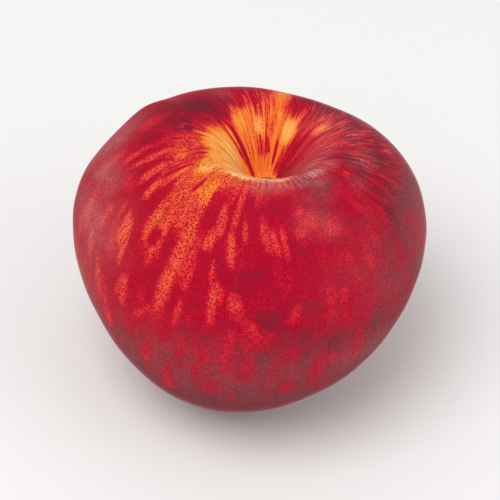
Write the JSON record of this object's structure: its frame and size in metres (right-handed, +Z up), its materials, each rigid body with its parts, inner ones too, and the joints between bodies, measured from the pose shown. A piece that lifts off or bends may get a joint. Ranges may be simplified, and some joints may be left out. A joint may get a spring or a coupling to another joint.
{
  "type": "peach",
  "caption": "Whole ripe red peach with a deep stem hollow, a seam down one side and a small flat spot to rest on.",
  "frame": {"origin": "on the ground, under the middle of the fruit's box, inside the flat spot that it rests on", "axes": "+Z up, out of the stem end; -Y towards the side that the picture shows, +X to that side's right"},
  "size_m": [0.0754, 0.0754, 0.0615],
  "materials": {
    "peach_skin": "velvety crimson fruit skin with orange streaks, fine dots and a dull bloom"
  },
  "bodies": {
    "root": {"peach": "peach_skin"}
  },
  "joints": []
}
